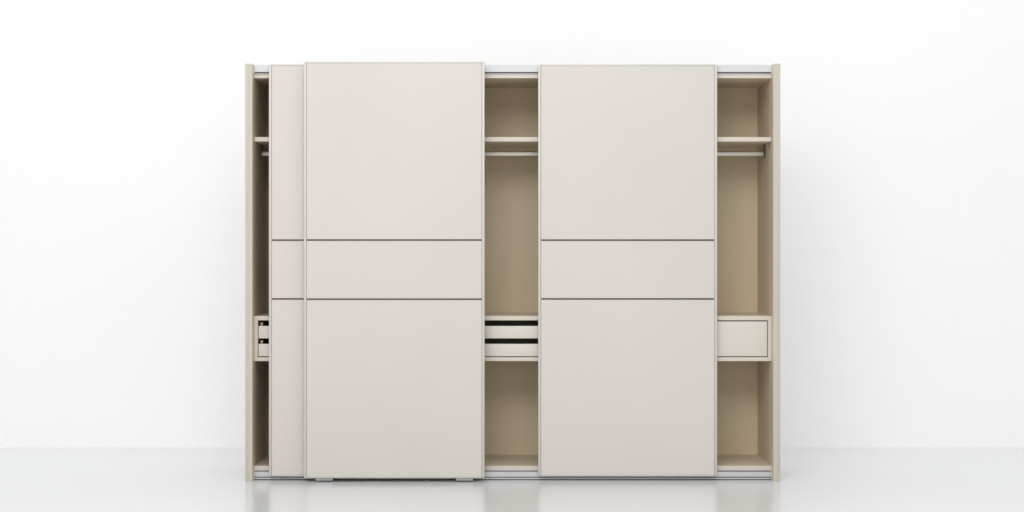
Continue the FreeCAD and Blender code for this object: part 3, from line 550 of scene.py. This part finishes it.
# ---- Shelf pins and levelling feet ---------------------------------------------------------------
# Steel pins carry the shelves; black moulded screw feet stand inside the plinth under each
# bottom panel and take up an uneven floor.
black_moulding = moulding("black_moulding", (0.012, 0.012, 0.013), (0.028, 0.028, 0.03), 0.45)
eased_piece("shelf_pins", zinc_steel, ease=0.0004)
eased_piece("levelling_feet", black_moulding, ease=0.0012)

# ---- Clothes rails -------------------------------------------------------------------------------
# Oval steel tubes in satin nickel, held at each end in the socket of a die-cast bracket that is
# screwed to the underside of the shelf and to the board beside it. The brackets are painted near
# black: painted shade for the shadow they sit in under the shelf.


def brushed(name, dark, light, gloss, metallic=1.0):
    """Anodised or brushed extrusion: hair-fine streaks along each length, upright or level."""
    material, tree, shader, place = start_material(name)
    upright = noise(tree, place, (2600, 2600, 6), detail=2.0)
    along = noise(tree, place, (6, 2600, 2600), detail=2.0)
    level = tree.nodes.new("ShaderNodeAttribute")
    level.attribute_name = "level"
    streak = tree.nodes.new("ShaderNodeMix")
    tree.links.new(level.outputs["Fac"], streak.inputs[0])
    tree.links.new(upright, streak.inputs[2])
    tree.links.new(along, streak.inputs[3])
    tree.links.new(shades(tree, streak.outputs[0], dark, light), shader.inputs["Base Color"])
    tree.links.new(spread(tree, streak.outputs[0], gloss - 0.06, gloss + 0.08), shader.inputs["Roughness"])
    relief(tree, shader, streak.outputs[0], 0.000012, 0.5)
    shader.inputs["Metallic"].default_value = metallic
    return material


satin_nickel = brushed("satin_nickel", (0.50, 0.48, 0.42), (0.62, 0.60, 0.54), 0.36)
# The brackets' near-black brown is painted shade for the shadow under the shelf.
casting_painted_shade = metal("bracket_casting_painted_shade", (0.13, 0.10, 0.07), (0.19, 0.15, 0.11), 0.45, (300, 300, 300))
eased_piece("clothes_rails", satin_nickel, ease=0.0003)
eased_piece("clothes_rail_brackets", casting_painted_shade, ease=0.0015, steps=3)

# ---- Running rail and guide rail -----------------------------------------------------------------
# Two aluminium extrusions in natural satin anodising, sawn to length and closed at each end with a
# thin moulded cap. The doors hang from the upper one, and the lower one keeps them in line. The
# lower one is painted darker than the upper: painted shade for the shade under the doors.
rail_aluminium = brushed("rail_anodised", (0.605, 0.61, 0.62), (0.695, 0.70, 0.71), 0.5, 0.15)
cap_moulding = moulding("rail_cap_moulding", (0.64, 0.645, 0.655), (0.74, 0.745, 0.755), 0.42)
# The guide rail's darker anodising is painted shade for the shade under the doors.
guide_aluminium_painted_shade = brushed("guide_rail_anodised_painted_shade", (0.55, 0.555, 0.56), (0.65, 0.655, 0.66), 0.45, 0.4)
eased_piece("top_running_rail", rail_aluminium, ease=0.0004)
eased_piece("bottom_guide_rail", guide_aluminium_painted_shade, ease=0.0004)
eased_piece("rail_end_caps", cap_moulding, ease=0.0015, steps=3)

# ---- Drawer units and drawers --------------------------------------------------------------------
# Fixed open-fronted boxes in the carcass board. Each drawer has a lacquered front and a box of
# powder-coated steel sides, whose rolled rib runs in a zinc-plated channel on the unit's side.
for unit in ("left", "middle", "right"):
    # The units' faces use the carcass board painted lighter than its edge strip: painted light in the bays.
    face_with(eased_piece("drawer_unit_" + unit, beige_board_painted_light), shelf_strip, toward=-1)
front_lacquer = lacquer("drawer_front_lacquer", (0.665, 0.625, 0.56), (0.70, 0.66, 0.595), 0.36, 0.1)
powder_coat = moulding("grey_powder_coat", (0.36, 0.33, 0.285), (0.43, 0.40, 0.35), 0.5, depth=0.00006)
for drawer in ("left_upper", "left_lower", "middle_upper", "middle_lower", "right_tall"):
    eased_piece(drawer + "_drawer_front", front_lacquer, ease=0.0012, steps=3)
    eased_piece(drawer + "_drawer_box", powder_coat, ease=0.0008)
eased_piece("drawer_runners", zinc_steel, ease=0.0003, steps=1)

# ---- Door frames ---------------------------------------------------------------------------------
# Four anodised aluminium extrusions a door, screwed together through the tube at their back. The
# stile shows a rounded nose and a narrow shadow groove beside the panel.
frame_aluminium = brushed("champagne_anodised", (0.545, 0.52, 0.485), (0.635, 0.605, 0.565), 0.46, 0.2)
doors = ("left", "middle", "right")
for door in doors:
    eased_piece(door + "_door_frame", frame_aluminium, ease=0.0014, steps=3)

# ---- Door crossbars ------------------------------------------------------------------------------
# Two level bars in dark bronze anodising that part the door into three panels. Each is one
# extrusion, with a web between the panels and a flange behind them.
dark_bronze = brushed("dark_bronze_anodised", (0.085, 0.075, 0.064), (0.14, 0.125, 0.11), 0.38)
for door in doors:
    eased_piece(door + "_door_crossbars", dark_bronze, ease=0.0006)

# ---- Door panels ---------------------------------------------------------------------------------
# Three panels a door in warm light grey satin lacquer, slid into the grooves of the head and foot
# profiles and of the crossbars before the frame is closed.
door_lacquer = lacquer("door_panel_lacquer", (0.625, 0.59, 0.543), (0.655, 0.62, 0.573), 0.33, 0.2)
for door in doors:
    for place_on_door in ("upper", "band", "lower"):
        eased_piece(f"{door}_door_panel_{place_on_door}", door_lacquer, ease=0.0006)

# ---- Hangers, rollers and guides -----------------------------------------------------------------
# Bent steel brackets carry each door on two grooved nylon rollers. Below, the rear doors have bent
# steel guides, and the front door has moulded feet whose tongues pass under the rear doors.
white_nylon = moulding("off_white_nylon", (0.62, 0.60, 0.55), (0.70, 0.68, 0.63), 0.4)
foot_moulding = moulding("grey_guide_foot", (0.33, 0.335, 0.335), (0.40, 0.405, 0.405), 0.4)
for door in doors:
    eased_piece(door + "_door_hangers", zinc_steel, ease=0.0005)
    eased_piece(door + "_door_guides", foot_moulding if door == "middle" else zinc_steel, ease=0.0008)
    for side in ("left", "right"):
        eased_piece(f"{door}_roller_{side}", white_nylon, ease=0.0006)

# ---- Door screws ---------------------------------------------------------------------------------
# Two screws hold each corner of the frame through the stile, and pairs of them hold the hangers
# and the steel guides to the back of the rear doors.
frame_head_radius = 0.0030
end_screw = 0.010
inner_screw = 0.022
tube_middle = 0.012
plate_head_radius = 0.0034
plate_inset = 0.012
hanger_thick = 0.004
hanger_drop = 0.014
guide_thick = 0.003
guide_rise = 0.012
for door in doors:
    frame_low, frame_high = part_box(door + "_door_frame")
    spots = []
    for x, toward in ((frame_low.x, -1), (frame_high.x, 1)):
        for z in (frame_low.z + end_screw, frame_low.z + inner_screw,
                  frame_high.z - inner_screw, frame_high.z - end_screw):
            spots.append(((x, frame_high.y - tube_middle, z), (toward, 0, 0), frame_head_radius))
    if door != "middle":
        for plate, thick, z in (("_door_hangers", hanger_thick, frame_high.z - hanger_drop),
                                ("_door_guides", guide_thick, frame_low.z + guide_rise)):
            for low, high in boxes_of(door + plate):
                for x in (low.x + plate_inset, high.x - plate_inset):
                    spots.append(((x, frame_high.y + thick, z), (0, 1, 0), plate_head_radius))
    scattered(door + "_door_screws", spots, pan_head, zinc_steel, door + "_door")

# ---- Panel gaskets -------------------------------------------------------------------------------
# Grey rubber strips at the bottom of the shadow groove between stile and panel, pressed in from
# the front, that keep the panels from rattling.
grey_rubber = moulding("grey_rubber", (0.40, 0.385, 0.355), (0.48, 0.465, 0.43), 0.6)
strip_face = 0.0131
groove_end = 0.0164
gasket_front = 0.0034
gasket_rear = 0.0049
gasket_short = 0.006
gasket_round = 0.0004
for door in doors:
    frame_low, frame_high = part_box(door + "_door_frame")
    gaskets = []
    for left, right in ((frame_low.x + strip_face, frame_low.x + groove_end),
                        (frame_high.x - groove_end, frame_high.x - strip_face)):
        gaskets.append(((left, frame_low.y + gasket_front, frame_low.z + gasket_short),
                        (right, frame_low.y + gasket_rear, frame_high.z - gasket_short)))
    new_piece(door + "_door_gaskets", strips_mesh(door + "_door_gaskets", gaskets, gasket_round),
              door + "_door", grey_rubber)

# ---- Brush seals ---------------------------------------------------------------------------------
# Pile strips stuck up the back of the front door's stiles: a woven backing with short grey nylon
# tufts that close part of the gap to the rear doors passing behind it.


def tuft():
    """A bundle of pile, 1 long and pointing up, splayed wider than it is thick."""
    rings = []
    for wide, thick, height in ((0.13, 0.13, -0.05), (0.24, 0.10, 0.6), (0.30, 0.05, 1.0)):
        rings.append([(x * wide, y * thick, height) for x, y in ((-1, -1), (1, -1), (1, 1), (-1, 1))])
    return stacked_rings("tuft", rings)


grey_pile = moulding("grey_pile", (0.15, 0.15, 0.15), (0.30, 0.30, 0.29), 0.8)
pile_shape = tuft()
pile_inset = 0.008
backing = 0.0008
backing_half = 0.0025
backing_round = 0.0002
tuft_gap = 0.0026
tuft_from_end = 0.002
tuft_sway = 0.9
tuft_seed = 7
pile_long = 0.0055
frame_low, frame_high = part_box("middle_door_frame")
foot = frame_low.z + 0.045
head = frame_high.z - 0.060
tufts = int((head - foot - 2 * tuft_from_end) / tuft_gap)
spots = []
strips = []
for x in (frame_low.x + pile_inset, frame_high.x - pile_inset):
    strips.append(((x - backing_half, frame_high.y, foot), (x + backing_half, frame_high.y + backing, head)))
    for k in range(tufts):
        z = foot + tuft_from_end + k * tuft_gap
        spots.append(((x, frame_high.y + backing, z), (0, 1, 0), pile_long))
new_piece("middle_door_pile_backing", strips_mesh("middle_door_pile_backing", strips, backing_round),
          "middle_door", grey_rubber)
scattered("middle_door_pile", spots, pile_shape, grey_pile, "middle_door", turn=tuft_sway,
          seed=tuft_seed)

# ---- Room, light and camera ----------------------------------------------------------------------
# A white room with the wall about a metre behind the wardrobe, lit by large soft lights in front of
# it and above, and a level camera at the height of a standing person's chest.
low, high = cad_box
side_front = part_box("side_panel_left")[0].y
wall_y = side_front + 1.57
room_front = side_front - 12.0
room_rear = 12.0
room_half = 14.0
room_high = 6.0


def stage_plane(name, corners, dark, light, gloss, glow):
    """One flat surface of the room, in a softly uneven white, seen only from its front."""
    mesh = bpy.data.meshes.new(name)
    mesh.from_pydata(corners, [], [(0, 1, 2, 3)])
    surface = bpy.data.objects.new(name, mesh)
    bpy.context.scene.collection.objects.link(surface)
    material, tree, shader, place = start_material(name + "_paint")
    drift = noise(tree, place, (0.4, 0.4, 0.4), detail=1.0)
    tree.links.new(shades(tree, drift, dark, light), shader.inputs["Base Color"])
    shader.inputs["Roughness"].default_value = gloss
    shader.inputs["IOR"].default_value = 1.75
    shader.inputs["Emission Color"].default_value = (1, 1, 1, 1)
    shader.inputs["Emission Strength"].default_value = glow
    behind = tree.nodes.new("ShaderNodeNewGeometry")
    clear = tree.nodes.new("ShaderNodeBsdfTransparent")
    choice = tree.nodes.new("ShaderNodeMixShader")
    tree.links.new(behind.outputs["Backfacing"], choice.inputs[0])
    tree.links.new(shader.outputs["BSDF"], choice.inputs[1])
    tree.links.new(clear.outputs["BSDF"], choice.inputs[2])
    tree.links.new(choice.outputs["Shader"], tree.nodes["Material Output"].inputs["Surface"])
    mesh.materials.append(material)


floor_corners = [(-room_half, room_front, low.z), (room_half, room_front, low.z),
                 (room_half, room_rear, low.z), (-room_half, room_rear, low.z)]
wall_corners = [(-room_half, wall_y, low.z), (room_half, wall_y, low.z),
                (room_half, wall_y, room_high), (-room_half, wall_y, room_high)]
stage_plane("room_floor", floor_corners, (0.74, 0.745, 0.75), (0.755, 0.76, 0.765), 0.18, 0.0)
stage_plane("room_wall", wall_corners, (0.895, 0.90, 0.91), (0.91, 0.915, 0.925), 0.8, 0.09)


def soft_light(name, place, target, wide, tall, watts):
    """A rectangular soft light that faces a point."""
    lamp = bpy.data.lights.new(name, "AREA")
    lamp.shape = "RECTANGLE"
    lamp.size = wide
    lamp.size_y = tall
    lamp.energy = watts
    light = bpy.data.objects.new(name, lamp)
    light.location = place
    light.rotation_euler = (Vector(target) - Vector(place)).to_track_quat("-Z", "Y").to_euler()
    bpy.context.scene.collection.objects.link(light)


door_middle = (0, 0, 1.2)
soft_light("high_front", (-1.0, side_front - 8.5, 5.6), door_middle, 6.0, 2.6, 270)
soft_light("key_left", (-3.2, side_front - 8.0, 2.9), door_middle, 3.2, 3.2, 22)
soft_light("level_front", (0, side_front - 9.5, 1.35), door_middle, 6.0, 2.6, 52)
soft_light("overhead", (0, side_front - 3.5, 5.8), (0, side_front - 3.0, 0), 9.0, 5.0, 100)
soft_light("behind_top", (0, side_front + 0.98, 6.0), (0, side_front + 0.98, 0), 12.0, 0.9, 60)
world = bpy.data.worlds.new("white_room")
world.use_nodes = True
world.node_tree.nodes["Background"].inputs["Color"].default_value = (1.0, 1.0, 1.0, 1)
world.node_tree.nodes["Background"].inputs["Strength"].default_value = 0.6
bpy.context.scene.world = world
bpy.context.scene.view_settings.view_transform = "Standard"

camera_distance = 9.0
camera_height = 1.2623
camera_left = 0.0046
lens = bpy.data.cameras.new("camera")
lens.lens = 56.45
lens.sensor_width = 36.0
camera = bpy.data.objects.new("camera", lens)
camera.location = ((low.x + high.x) / 2 - camera_left, side_front - camera_distance,
                   low.z + camera_height)
camera.rotation_euler = (math.radians(90), 0, 0)
bpy.context.scene.collection.objects.link(camera)
bpy.context.scene.camera = camera
